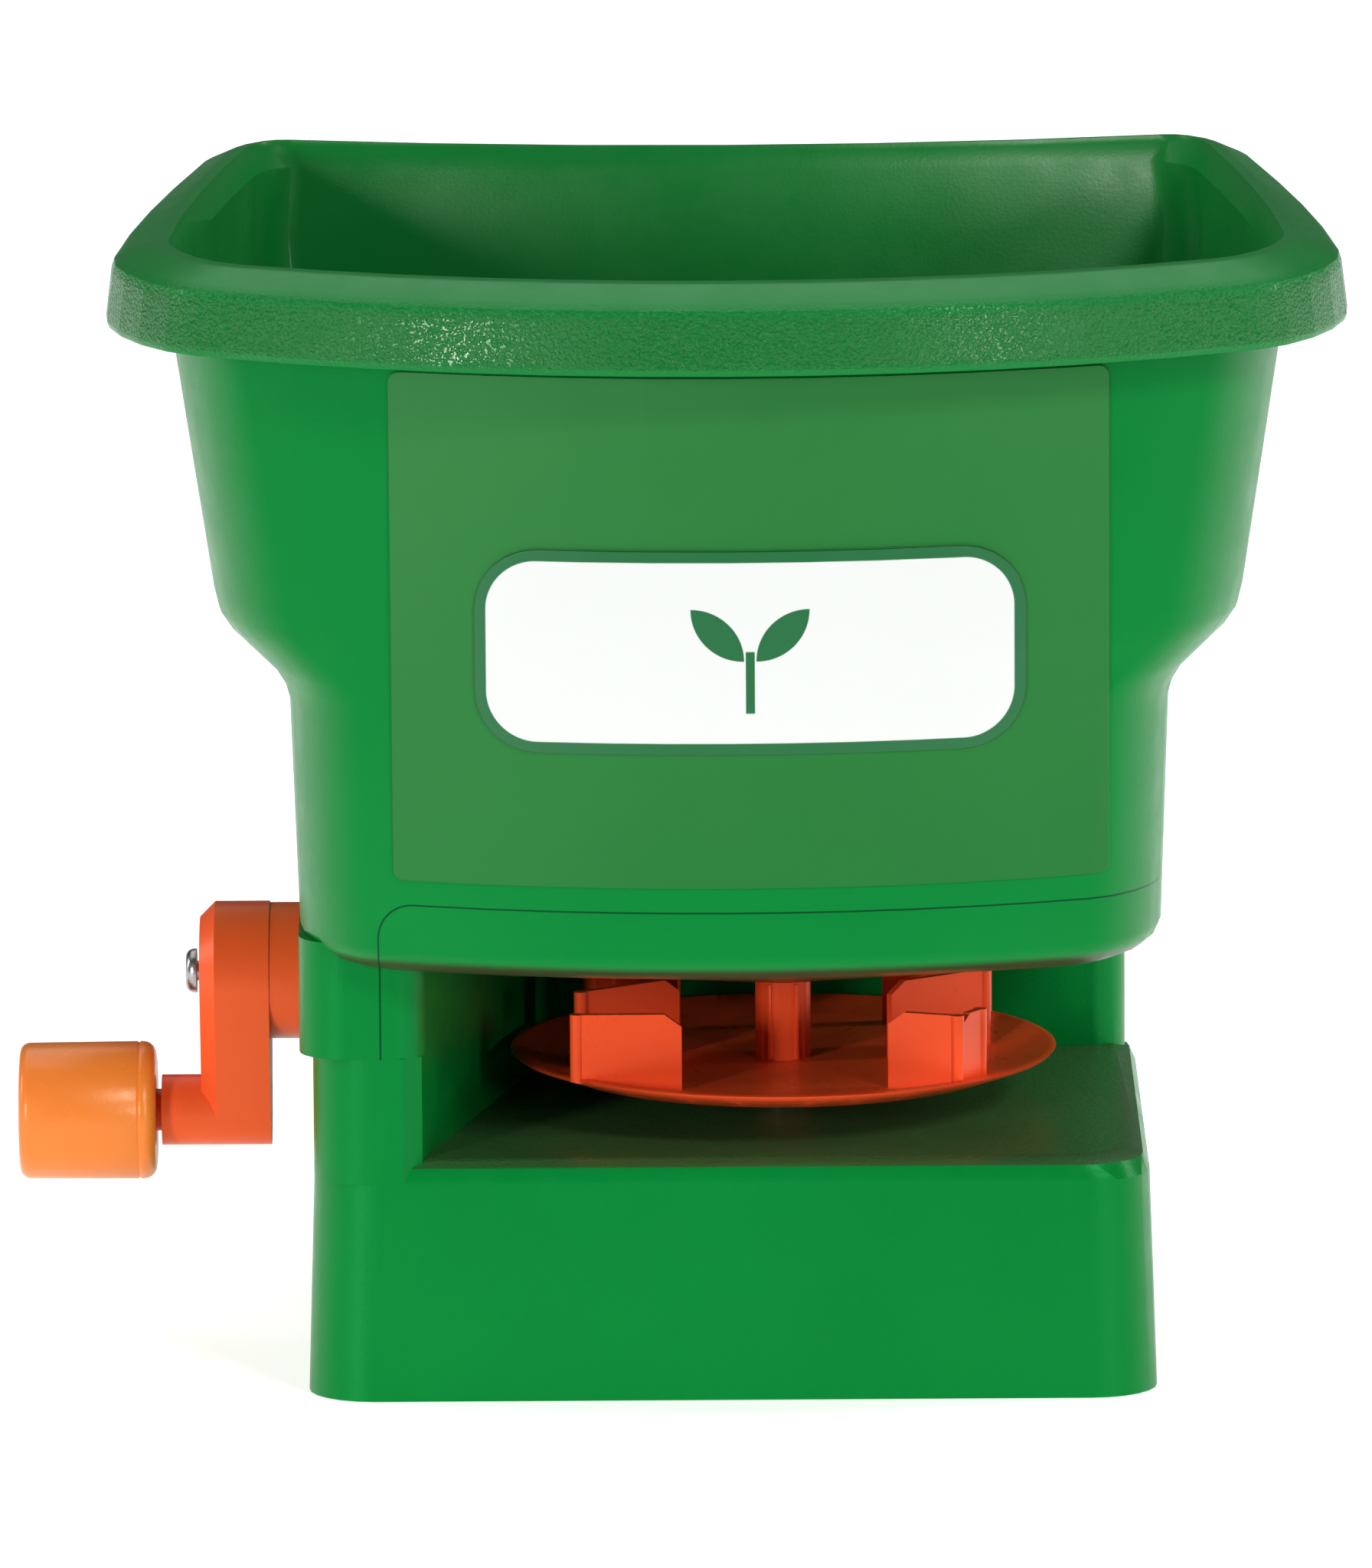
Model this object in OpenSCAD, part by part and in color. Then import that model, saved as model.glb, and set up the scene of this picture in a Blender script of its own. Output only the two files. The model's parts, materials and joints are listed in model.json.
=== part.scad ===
// Hand-held garden spreader: a hopper over a cranked spinner, on a base it can stand on.
// Millimetres, +Z up. The origin is on the standing surface, under the spinner's axis.
// The hand crank is on the left (-X) and the handle is at the back (+Y).

/* [Body] */
// Offset of the body's centre plane from the spinner's axis
body_x = -10.3; // [-14:0.1:-6]
// Height of the base's top deck
base_h = 47.3; // [39:0.1:57]
// How far the base stands inside the hopper's lower part on each side
base_inset = 1.3; // [0:0.1:2]
// How far the base reaches in front of the spinner's axis
base_front = 60; // [57:1:72]
// How far the base reaches behind the spinner's axis
base_back = 80; // [74:1:96]
// Wall thickness of the green mouldings
wall = 2.5; // [2:0.1:3]
// Height of the throw window, from the base's deck to the bottom of the gear case
window_h = 20.5; // [17:0.1:24.6]

/* [Hopper] */
// Width of the rim
rim_w = 242.6; // [230:0.1:292]
// Width of the rim's lip
lip_w = 12.6; // [10:0.1:15.2]
// Height of the hopper, from the pan seam to the top of the rim
hopper_h = 124.6; // [103:0.1:150]
// How much wider the hopper gets on each side from its step to its rim
flare = 8.2; // [6:0.1:10]
// Width of the step in each side of the hopper
step_w = 16.2; // [13.5:0.1:19.5]
// Plan radius of the bulged front wall
front_r = 185; // [160:1:222]
// How far the hopper's lower part reaches in front of the spinner's axis
hopper_front = 83; // [80:1:90]
// How far the hopper's lower part reaches behind the spinner's axis
hopper_back = 80; // [78:1:90]
// Width of the outlet port
port_w = 20; // [16:1:22]

/* [Spinner] */
// Radius of the spinner's disc
disc_r = 54; // [45:0.5:55]
// Clearance between the vanes and the pan above them
vane_gap = 0.9; // [0.6:0.1:1.5]
// Thickness of the disc and of the vanes
disc_t = 1.6; // [1.3:0.1:2]
// Diameter of the spinner's shaft and of the countershaft
shaft_d = 5; // [4:0.1:6]

/* [Crank] */
// Crank radius, from the drive shaft to the knob
crank_r = 28; // [23:0.5:34]
// Diameter of the knob
knob_d = 27.3; // [22:0.1:33]
// Length of the knob
knob_l = 27; // [22:0.1:33]
// Thickness of the crank arm
arm_t = 13.8; // [11.5:0.1:16.6]
// Diameter of the drive shaft
drive_d = 7; // [5.8:0.1:8.4]

/* [Gears] */
// Module of the spur gears
gear_m = 0.75; // [0.63:0.01:0.8]
// Teeth on the drive gear
drive_teeth = 44; // [44]
// Teeth on the pinion
pinion_teeth = 11; // [11]
// Module of the two bevel gears
bevel_m = 1.2; // [1:0.1:1.3]
// Teeth on each bevel gear
bevel_teeth = 14; // [14]

/* [Handle] */
// Thickness of the handle
handle_t = 26; // [22:1:31]
// Depth of the finger gap between the trigger and the grip
finger_gap = 21; // [18:1:25]
// Front to back depth of the grip
grip_d = 24; // [20:1:29]
// Height of the trigger's pivot above the gate
trigger_arm = 30.5; // [26:0.5:36]

/* [Fits] */
// Radial clearance of a running shaft
run_gap = 0.05; // [0.03:0.01:0.1]
// Clearance of a sliding plate
slide_gap = 0.3; // [0.2:0.05:0.4]

/* [Hidden] */

$fn = 48;
eps = 0.01;

// Levels
case_z = base_h + window_h;
crank_z = case_z + 6.7;
seam_z = case_z + 33;
rim_z = seam_z + hopper_h;
floor_z = seam_z + 3.7;
floor_t = wall;
disc_z = base_h + 7.8;
hub_z = seam_z - 28;
gear_gap = gear_m * (drive_teeth + pinion_teeth) / 2;
counter_z = crank_z + gear_gap;

// Body outlines, in the body's own plane (x from the centre plane)
corner_r = 15;
draft = 1.5;
base_edge = 4.5;
base_corner = 13;
rim_x = rim_w / 2;
mouth_x = rim_x - lip_w;
shoulder_x = mouth_x - flare;
waist_x = shoulder_x - step_w;
base_x = waist_x - base_inset;
front_slope = 0.08;
back_slope = 0.12;
back_hollow = 14;
step_z = seam_z + 45.7;
skirt_h = 16.5;

// Gear case
case_left = body_x - waist_x + 0.1;
case_w = 23;
case_right = case_left + case_w;
case_y = 52;
case_front = -base_front + 1.2;
lean = 12.8;
case_seam = case_left + 16;
seam_r = 7;

// Crank
drum_gap = 0.9;
drum_l = 6;
arm_in = case_left - drum_gap - drum_l;
arm_out = arm_in - arm_t;
arm_head_d = 27.6;
arm_foot_d = 14;
drum_d = 27;
boss_l = 7.9;
boss_out = arm_out - boss_l;
pin_d = 8.3;
pin_gap = 1.1;
knob_in = boss_out - pin_gap;
screw_d = 8.8;
screw_h = 2.9;

// Gear train along X
drive_gear_t = 5;
drive_gear_x = case_left + wall + 4;
bevel_face = 4;
bevel_r = bevel_m * bevel_teeth / 2;
bevel_hub = 3.6;
pinion_len = 7;

// Spinner
hub_d = 11;
vane_top = hub_z - vane_gap;

agitator_h = 11;
shaft_z0 = base_h - 12;
shaft_z1 = floor_z + floor_t + agitator_h;
vane_scale = disc_r / 54;

// Bearings, seats and screws
seat_gap = 0.02;
bush_d = 9.6;
bearing_t = 6;
counter_x0 = drive_gear_x - 2.5;
bearing_x = [case_right + 2, -21];
screw_hole = 3.2;
screw_head = 6;
screw_shank = 4;
pan_screw_at = [[-48, -50], [62, -42], [62, 54], [-48, 60]];

// Outlet, gate and trigger
port_x = -28;
port_y = 18;
chute_z = vane_top + 2;
gate_t = 2;
gate_z = floor_z - slide_gap - gate_t;
gate_w = port_w + 6;
gate_y0 = port_y - port_w / 2 - 2;
gate_len = port_w + 18;
tongue_w = 12;
pivot_z = gate_z + gate_t / 2 + trigger_arm;
pad_y = hopper_back + 17;
pivot_y = pad_y + 8;
pivot_d = 4;
link_d = 3;
blade_t = 7;
blade_w = 14;
grip_y = pivot_y + blade_t / 2 + finger_gap;
grip_end = grip_y + grip_d;
handle_top = pivot_z + 50;
handle_foot = base_h + 13;
foot_y = base_back + 4;
dial_y = pivot_y + 16;
dial_zc = pivot_z + 26;
dial_shaft_d = 7;
handle_screw_at = [
    [pad_y + 8, handle_top - 9], [grip_end - 11, handle_top - 20],
    [grip_end - 11, handle_foot + 12], [foot_y + 9, handle_foot + 5]
];

// Front label
label_w = 138.4;
label_x = body_x + 4.1;
label_t = 0.7;
badge_w = 106;
badge_z = seam_z + 51.7;
pin_seat = 8;

// ---- Point functions ----

function arc(cx, cy, r, a0, a1, n) =
    [for (i = [0:n]) let (a = a0 + (a1 - a0) * i / n) [cx + r * cos(a), cy + r * sin(a)]];

// The points between p and q, without either end
function between(p, q, n) = [for (i = [1:n - 1]) p + (q - p) * i / n];

// Rounded rectangle from y = 0 to y = d, anticlockwise, with the front edge first:
// radius r at the front corners and rb at the back ones
function plan(hx, d, r, rb) = concat(
    between([-hx + r, 0], [hx - r, 0], 12), arc(hx - r, r, r, -90, 0, 5),
    between([hx, r], [hx, d - rb], 4), arc(hx - rb, d - rb, rb, 0, 90, 5),
    between([hx - rb, d], [-hx + rb, d], 6), arc(-hx + rb, d - rb, rb, 90, 180, 5),
    between([-hx, d - rb], [-hx, r], 4), arc(-hx + r, r, r, 180, 270, 5)
);

// Distance of the bulged front wall behind its own middle
function bulge(x) = front_r - sqrt(front_r * front_r - x * x);

// How much narrower the plan is at y, as it tapers to the back
function narrow(y, taper) = 1 - taper * pow(max(0, y + 40) / 140, 1.5);

// One ring of the body at height z: half width hx, front and back reach, corner radius
function ring(z, hx, front, back, r = 22, taper = 0.05, hollow = 0) = [
    for (p = plan(hx, 100, r, 0.6 * r))
        let (yf = -front + bulge(p[0]), yb = back + hollow * pow(p[0] / hx, 2))
        let (y = yf + (yb - yf) * p[1] / 100)
        [p[0] * narrow(y, taper), y, z]
];

// Reach of the hopper's walls at height z
function front_at(z) = hopper_front + front_slope * (z - seam_z);
function back_at(z) = hopper_back + back_slope * (z - seam_z);
function part_up(z) = (z - seam_z) / hopper_h;

// Ring of the hopper's wall at height z, moved in by inset
function wall_ring(z, hx, inset = 0) = ring(
    z, hx - inset, front_at(z) - inset, back_at(z) - inset,
    corner_r, 0.03 + 0.09 * part_up(z), back_hollow * part_up(z)
);

// Ring of the rim, moved out from the mouth by lip
function rim_ring(z, lip) = ring(
    z, mouth_x + lip, front_at(rim_z) + lip * 1.1, back_at(rim_z) + lip * 0.85,
    corner_r + lip / 3, 0.11, back_hollow
);

// Ring of the pan's edge, moved in by inset
function pan_ring(z, inset) = ring(
    z, waist_x - inset, hopper_front - inset, hopper_back - inset, corner_r - inset / 2, 0.03
);

// Circle around the spinner's axis that matches a ring point for point
function hub_ring(z, r) = [
    for (p = pan_ring(z, 0))
        let (d = [p[0] + body_x, p[1]])
        [d[0] * r / norm(d) - body_x, d[1] * r / norm(d), z]
];

function flat(lists) = [for (l = lists) for (p = l) p];

// ---- Shared shapes ----

// Closed solid through a list of rings with the same number of points
module loft(rings) {
    n = len(rings[0]);
    last = len(rings) - 1;
    sides = flat([
        for (k = [0:last - 1])
            flat([
                for (i = [0:n - 1])
                    let (j = (i + 1) % n, a = k * n + i, b = k * n + j)
                    [[a, a + n, b + n], [a, b + n, b]]
            ])
    ]);
    polyhedron(
        flat(rings),
        concat([[for (i = [0:n - 1]) i]], sides, [[for (i = [0:n - 1]) last * n + n - 1 - i]])
    );
}

module along_x(x0, length, d, y = 0, z = 0) {
    translate([x0, y, z]) rotate([0, 90, 0]) cylinder(d = d, h = length);
}

module tube(d_out, d_in, z0, z1) {
    translate([0, 0, z0]) difference() {
        cylinder(d = d_out, h = z1 - z0);
        translate([0, 0, -1]) cylinder(d = d_in, h = z1 - z0 + 2);
    }
}

module box(x0, x1, y0, y1, z0, z1) {
    translate([x0, y0, z0]) cube([x1 - x0, y1 - y0, z1 - z0]);
}

module round_rect(w, d, r) {
    polygon(concat(
        arc(w / 2 - r, -d / 2 + r, r, -90, 0, 6), arc(w / 2 - r, d / 2 - r, r, 0, 90, 6),
        arc(-w / 2 + r, d / 2 - r, r, 90, 180, 6), arc(-w / 2 + r, -d / 2 + r, r, 180, 270, 6)
    ));
}

// Gear outline with straight-flanked teeth, one tooth centred on +X
module gear_plan(m, teeth, backlash = 0.09) {
    r = m * teeth / 2;
    add = 0.8 * m;
    half = 90 / teeth - backlash / r * 28.65;
    slope = add * tan(25) / r * 57.3;
    polygon([
        for (k = [0:teeth - 1])
            let (a = 360 * k / teeth)
            for (p = [
                [r - 1.25 * m, a - half - 1.2 * slope], [r + add, a - half + slope],
                [r + add, a + half - slope], [r - 1.25 * m, a + half + 1.2 * slope]
            ])
                [p[0] * cos(p[1]), p[0] * sin(p[1])]
    ]);
}

// ---- Hopper, pan and base ----

// Half widths of the hopper's side wall up to the rim, as [height, half width]
side_profile = [
    [seam_z, waist_x], [step_z - 10, waist_x + 1.2], [step_z - 6.5, waist_x + 2.2],
    [step_z - 3.5, waist_x + 4.2], [step_z + 4, shoulder_x - 3.4], [step_z + 7, shoulder_x - 1.2],
    [step_z + 11, shoulder_x - 0.2], [rim_z - 18, mouth_x - 0.6], [rim_z - 5, mouth_x]
];

module hopper_outside() {
    translate([body_x, 0, 0]) loft(concat(
        [for (p = side_profile) wall_ring(p[0], p[1])],
        [
            rim_ring(rim_z - 5, lip_w - 4.2), rim_ring(rim_z - skirt_h, lip_w - 2.4),
            rim_ring(rim_z - skirt_h, lip_w - 0.5), rim_ring(rim_z - skirt_h + 1.2, lip_w),
            rim_ring(rim_z - 6, lip_w - 1.2), rim_ring(rim_z - 4.2, lip_w - 1.8),
            rim_ring(rim_z - 2.9, lip_w - 3.4), rim_ring(rim_z - 0.4, 3), rim_ring(rim_z, 1.2)
        ]
    ));
}

module hopper_inside() {
    top = floor_z + floor_t;
    translate([body_x, 0, 0]) loft(concat(
        [wall_ring(top, waist_x, wall + 14), wall_ring(top + 2, waist_x, wall + 6), wall_ring(top + 8, waist_x, wall)],
        [for (i = [1:len(side_profile) - 1]) wall_ring(side_profile[i][0], side_profile[i][1], wall)],
        [rim_ring(rim_z - 1.2, -0.6), rim_ring(rim_z + 1, 0.2)]
    ));
}

module under_floor() {
    translate([body_x, 0, 0]) loft([
        wall_ring(seam_z - 1, waist_x, wall), wall_ring(floor_z, waist_x, wall)
    ]);
}

// Cone under the hopper: from the circle around the spinner's shaft to the pan's edge
module pan_outside() {
    translate([body_x, 0, 0]) loft([
        hub_ring(hub_z, 8), pan_ring(seam_z - 14.9, 12), pan_ring(seam_z - 14.4, 8),
        pan_ring(seam_z - 12.9, 3.8), pan_ring(seam_z - 10.9, 1.3), pan_ring(seam_z - 8.8, 0.3),
        pan_ring(seam_z, 0)
    ]);
}

module pan_inside() {
    translate([body_x, 0, 0]) loft([
        hub_ring(hub_z + 3, 8), pan_ring(seam_z - 11.2, 12 + wall), pan_ring(seam_z - 9.6, 4 + wall),
        pan_ring(seam_z - 5, wall), pan_ring(seam_z + 1, wall)
    ]);
}

// Right side of the column and the gear case, which leans round the spinner
function lean_x(y) = (y * sin(lean) - disc_r - 2.5) / cos(lean);

// The gear case's outline from above
module case_plan() {
    polygon(concat(
        arc(case_left + 10, case_front + 10, 10, 180, 270, 6),
        arc(lean_x(case_front + 7) - 7, case_front + 7, 7, 270, 360, 6),
        [[lean_x(case_y), case_y]], arc(case_left + 4, case_y - 4, 4, 90, 180, 4)
    ));
}

// The room for the gears inside the case, or its walls' outline
module gear_room(grow = 0) {
    inset = wall - grow;
    translate([case_left + case_w / 2, (case_front + case_y) / 2])
        round_rect(case_w - 2 * inset, case_y - case_front - 2 * inset, 7 + grow);
}

// The hollow between the gears' room and the leaning wall
module lean_room() {
    back = case_y - wall;
    polygon([
        [case_right, (case_right * cos(lean) + wall + disc_r + 2.5) / sin(lean)],
        [lean_x(back) - wall / cos(lean), back], [case_right, back]
    ]);
}

// The pan and gear case before they are parted along the case seam
module lower_shell() {
    difference() {
        union() {
            difference() {
                union() {
                    pan_outside();
                    translate([0, 0, case_z]) linear_extrude(seam_z - 10 - case_z) case_plan();
                }
                pan_inside();
            }
            translate([0, 0, case_z]) linear_extrude(seam_z - 10 - case_z) gear_room(wall);
        }
        translate([0, 0, case_z - 1]) linear_extrude(seam_z + 2 - case_z) gear_room();
        difference() {
            translate([0, 0, case_z - 1]) linear_extrude(seam_z - case_z) lean_room();
            pan_outside();
        }
        crank_bush_holes();
    }
}

// Everything on the hopper's side of the case seam
module hopper_side() {
    front = -hopper_front - 20;
    rotate([90, 0, 0]) translate([0, 0, -hopper_back - 20])
        linear_extrude(hopper_back - front + 20) polygon(concat(
            [[case_left - 10, case_z - 10], [case_seam, case_z - 10]],
            arc(case_seam + seam_r, seam_z - seam_r, seam_r, 180, 90, 6),
            [[case_seam + seam_r, seam_z + 1], [case_left - 10, seam_z + 1]]
        ));
}

module crank_bush_holes() {
    along_x(case_left - 1, case_w + 2, bush_d, 0, crank_z);
}

// Outlet port through the hopper's floor
module port(z0, z1, grow = 0) {
    half = port_w / 2 + grow;
    box(port_x - half, port_x + half, port_y - half, port_y + half, z0, z1);
}

module gate_rails() {
    left = port_x - gate_w / 2 - slide_gap;
    right = port_x + gate_w / 2 + slide_gap;
    left_end = gate_y0 + gate_len + 4;
    right_end = gate_y0 + gate_len - 15;
    box(left - 2, left, gate_y0, left_end, seam_z - 1, floor_z + eps);
    box(left - 2, left + 2.2, gate_y0, left_end, seam_z - 1, gate_z - slide_gap);
    box(right, right + 2, gate_y0, right_end, seam_z - 1, floor_z + eps);
    box(right - 2.2, right + 2, gate_y0, right_end, seam_z - 1, gate_z - slide_gap);
}

module screw_places() {
    for (p = pan_screw_at)
        translate([body_x + p[0], p[1], 0]) children();
}

module hopper() {
    color("#008f38") difference() {
        union() {
            difference() {
                hopper_outside();
                under_floor();
            }
            intersection() {
                lower_shell();
                hopper_side();
            }
            box(body_x - handle_t / 2, body_x + handle_t / 2, hopper_back - 4, pad_y, pivot_z - 5, handle_top - 4);
            gate_rails();
            screw_places() translate([0, 0, seam_z]) cylinder(d = 8, h = floor_z - seam_z + eps);
        }
        hopper_inside();
        port(floor_z - 1, floor_z + floor_t + 1);
        translate([0, 0, floor_z - 1]) cylinder(d = bush_d, h = floor_t + 2);
        tongue_slot();
        screw_places() translate([0, 0, seam_z - 1]) cylinder(d = screw_hole, h = floor_z + 0.6 - seam_z);
        for (z = [pivot_z + 12, handle_top - 14])
            translate([body_x, pad_y + 1, z]) rotate([90, 0, 0]) cylinder(d = screw_hole, h = 12);
    }
}

// Slot in the hopper's back wall for the gate's tongue
module tongue_slot() {
    x = tongue_w / 2 + slide_gap;
    box(body_x - x, body_x + x, hopper_back - 12, hopper_back + 12, gate_z - slide_gap, gate_z + gate_t + slide_gap);
}

module bottom_pan() {
    color("#00873a") difference() {
        union() {
            difference() {
                lower_shell();
                hopper_side();
            }
            translate([0, 0, hub_z]) cylinder(d = bush_d + 5, h = 9);
            port(chute_z, seam_z - 1.6, 2);
            intersection() {
                pan_outside();
                screw_places() translate([0, 0, seam_z - 20]) cylinder(d = screw_head + 4, h = 20);
            }
        }
        port(chute_z - 1, seam_z, 0);
        translate([0, 0, hub_z - 1]) cylinder(d = bush_d, h = 11);
        screw_places() {
            translate([0, 0, seam_z - 30]) cylinder(d = screw_hole, h = 32);
            translate([0, 0, seam_z - 30]) cylinder(d = screw_head + 1, h = 20.6);
        }
    }
}

// Outline of the column under the gear case and of the wall behind the spinner
module column_plan() {
    inset = draft * (base_h - base_edge) / base_h;
    left = body_x - base_x + inset;
    right = body_x + base_x - draft - 2;
    front = -base_front + inset;
    wall_y = disc_r + 3;
    back = base_back - draft;
    polygon(concat(
        arc(left + base_corner - inset, front + base_corner - inset, base_corner - inset, 180, 270, 6),
        [[lean_x(front) - 3, front], [lean_x(front + 3), front + 3], [lean_x(wall_y), wall_y]],
        arc(right - 7, wall_y + 7, 7, -90, 0, 6), arc(right - 11, back - 11, 11, 0, 90, 6),
        arc(left + 11, back - 11, 11, 90, 180, 6)
    ));
}

// Drafted block with rounded top edges, from the standing surface up
module base_block(inset, top, edge) {
    depth = base_front + base_back;
    y = (base_back - base_front) / 2;
    translate([body_x, y, 0]) hull()
        for (level = [
            [-1, -draft / base_h], [top - edge, draft * (top - edge) / base_h],
            [top - edge / 3, draft + edge / 4], [top - eps, draft + edge]
        ])
            translate([0, 0, level[0]]) linear_extrude(eps) round_rect(
                2 * (base_x - inset - level[1]), depth - 2 * (inset + level[1]), base_corner - inset
            );
}

module base() {
    color("#008a3a") difference() {
        union() {
            difference() {
                union() {
                    base_block(0, base_h, base_edge);
                    difference() {
                        translate([0, 0, base_h - base_edge])
                            linear_extrude(seam_z - 11 - base_h + base_edge) column_plan();
                        box(case_left - 5, body_x + base_x, -base_front, disc_r + 2.9, case_z, seam_z);
                    }
                }
                base_block(wall, base_h - wall, base_edge - wall / 2);
                translate([0, 0, base_h]) linear_extrude(seam_z) offset(delta = -wall) column_plan();
            }
            box(body_x - base_x + 3, body_x + base_x - 3, -wall / 2, wall / 2, 0, base_h - wall + eps);
            box(-wall / 2, wall / 2, -base_front + 3, base_back - 3, 0, base_h - wall + eps);
            box(body_x - handle_t / 2, body_x + handle_t / 2, base_back - 5, foot_y, handle_foot - 6, handle_foot + 15);
        }
        pan_outside();
        translate([0, 0, case_z]) linear_extrude(30) case_plan();
        translate([0, 0, 14]) cylinder(d = bush_d + 8, h = base_h - wall - 14);
        translate([0, 0, base_h - wall - 1]) cylinder(d = bush_d, h = wall + 2);
        box(body_x - base_x - 9, body_x + base_x + 9, -base_front - 9, base_back + 9, -9, 0);
        translate([body_x, foot_y + 1, handle_foot + 4]) rotate([90, 0, 0]) cylinder(d = screw_hole, h = 12);
    }
}

// A skin on the bulged front wall between two offsets, inside a rounded window
module front_skin(t0, t1, x0, x1, z0, z1, r) {
    difference() {
        intersection() {
            translate([0, -t1, 0]) hopper_outside();
            translate([(x0 + x1) / 2, -40, (z0 + z1) / 2]) rotate([90, 0, 0])
                linear_extrude(100) round_rect(x1 - x0, z1 - z0, r);
        }
        translate([0, -t0, 0]) hopper_outside();
    }
}

module front_label() {
    color("#2c9048")
        front_skin(0, label_t, label_x - label_w / 2, label_x + label_w / 2, seam_z + 5, rim_z - skirt_h - 2.5, 2);
}

module badge() {
    color("#eef2ee")
        front_skin(label_t, 2 * label_t, label_x - badge_w / 2, label_x + badge_w / 2, badge_z - 20, badge_z + 20, 12);
}

// ---- Crank ----

module crank_arm() {
    color("#e8582c") difference() {
        union() {
            translate([arm_out, 0, crank_z]) rotate([0, 90, 0]) hull() {
                translate([0, 0, 3]) linear_extrude(arm_t - 3) arm_plan(0);
                linear_extrude(arm_t) arm_plan(3);
            }
            along_x(arm_in, drum_l, drum_d, 0, crank_z);
            along_x(boss_out, boss_l + arm_t, arm_foot_d, 0, crank_z - crank_r);
        }
        along_x(arm_in - 10, 20, drive_d + 2 * seat_gap, 0, crank_z);
        along_x(arm_out - 1, arm_t, screw_shank + 2 * seat_gap, 0, crank_z);
        along_x(boss_out - 1, pin_seat + 1, pin_d + 2 * seat_gap, 0, crank_z - crank_r);
    }
}

// Teardrop of the crank arm, with its foot towards +X
module arm_plan(inset) {
    $fn = 40;
    hull() {
        circle(d = arm_head_d - 2 * inset);
        translate([crank_r, 0]) circle(d = arm_foot_d - 2 * inset);
    }
}

module crank_screw() {
    color("#b9bcc0") difference() {
        union() {
            along_x(arm_out - screw_h, screw_h, screw_d, 0, crank_z);
            along_x(arm_out - screw_h / 2, arm_t + 2, screw_shank, 0, crank_z);
        }
        for (turn = [0, 90])
            translate([arm_out - screw_h, 0, crank_z]) rotate([turn, 0, 0])
                cube([2.4, 5, 1], center = true);
    }
}

module drive_shaft() {
    color("#c4c7ca") difference() {
        along_x(arm_in - 10, case_right + 1.5 - arm_in + 10, drive_d, 0, crank_z);
        along_x(arm_in - 11, 14, screw_shank + 2 * seat_gap, 0, crank_z);
    }
}

module drive_gear() {
    color("#e9e7df") difference() {
        union() {
            translate([drive_gear_x, 0, crank_z]) rotate([0, 90, 0])
                linear_extrude(drive_gear_t) gear_plan(gear_m, drive_teeth);
            along_x(drive_gear_x, drive_gear_t + 5, drive_d + 7, 0, crank_z);
        }
        along_x(drive_gear_x - 1, drive_gear_t + 7, drive_d + 2 * seat_gap, 0, crank_z);
    }
}

module knob_pin() {
    color("#dc3b22") along_x(knob_in - knob_l + 6, knob_l - 6 + pin_gap + pin_seat, pin_d, 0, crank_z - crank_r);
}

module crank_knob() {
    edge = 2.2;
    color("#f08434") translate([knob_in, 0, crank_z - crank_r]) rotate([0, -90, 0]) difference() {
        rotate_extrude() polygon(concat(
            [[0, 0]], arc(knob_d / 2 - edge, edge, edge, -90, 0, 6),
            arc(knob_d / 2 - edge, knob_l - edge, edge, 0, 90, 6), [[0, knob_l]]
        ));
        translate([0, 0, -1]) cylinder(d = pin_d + 2 * run_gap, h = knob_l - 4);
    }
}

// ---- Gear train ----

// Bevel gear pointing up along +Z, with its apex at the origin
module bevel_gear(turn) {
    difference() {
        union() {
            translate([0, 0, -bevel_r]) linear_extrude(bevel_face, scale = (bevel_r - bevel_face) / bevel_r)
                rotate(turn) gear_plan(bevel_m, bevel_teeth, 0.22);
            translate([0, 0, -bevel_r - bevel_hub]) cylinder(d = shaft_d + 5, h = bevel_hub + eps);
        }
        translate([0, 0, -bevel_r - 6]) cylinder(d = shaft_d + 2 * seat_gap, h = bevel_r + 6);
    }
}

module counter_shaft() {
    color("#c4c7ca") along_x(counter_x0, -bevel_r + bevel_face - 0.4 - counter_x0, shaft_d, 0, counter_z);
}

module counter_pinion() {
    color("#e9e7df") translate([drive_gear_x - 1, 0, counter_z]) rotate([0, 90, 0]) difference() {
        rotate(180) linear_extrude(pinion_len) gear_plan(gear_m, pinion_teeth);
        translate([0, 0, -1]) cylinder(d = shaft_d + 2 * seat_gap, h = pinion_len + 2);
    }
}

module counter_bevel() {
    color("#e9e7df") translate([0, 0, counter_z]) rotate([0, 90, 0]) bevel_gear(0);
}

module counter_bearings() {
    for (x = bearing_x)
        color("#20242a") difference() {
            box(x, x + bearing_t, -5.5, 5.5, counter_z - 5, floor_z);
            along_x(x - 1, bearing_t + 2, shaft_d + 2 * run_gap, 0, counter_z);
        }
}

module shaft_collar() {
    for (x = [bearing_x[0] + bearing_t + 0.3, bearing_x[1] - 2.5])
        color("#8f9499") difference() {
            along_x(x, 2.2, shaft_d + 4, 0, counter_z);
            along_x(x - 1, 4.2, shaft_d + 2 * seat_gap, 0, counter_z);
        }
}

// ---- Spinner ----

module spinner_shaft() {
    color("#c4c7ca") translate([0, 0, shaft_z0]) cylinder(d = shaft_d, h = shaft_z1 - shaft_z0);
}

module spinner_bevel() {
    color("#e9e7df") translate([0, 0, counter_z]) bevel_gear(180 / bevel_teeth);
}

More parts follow.
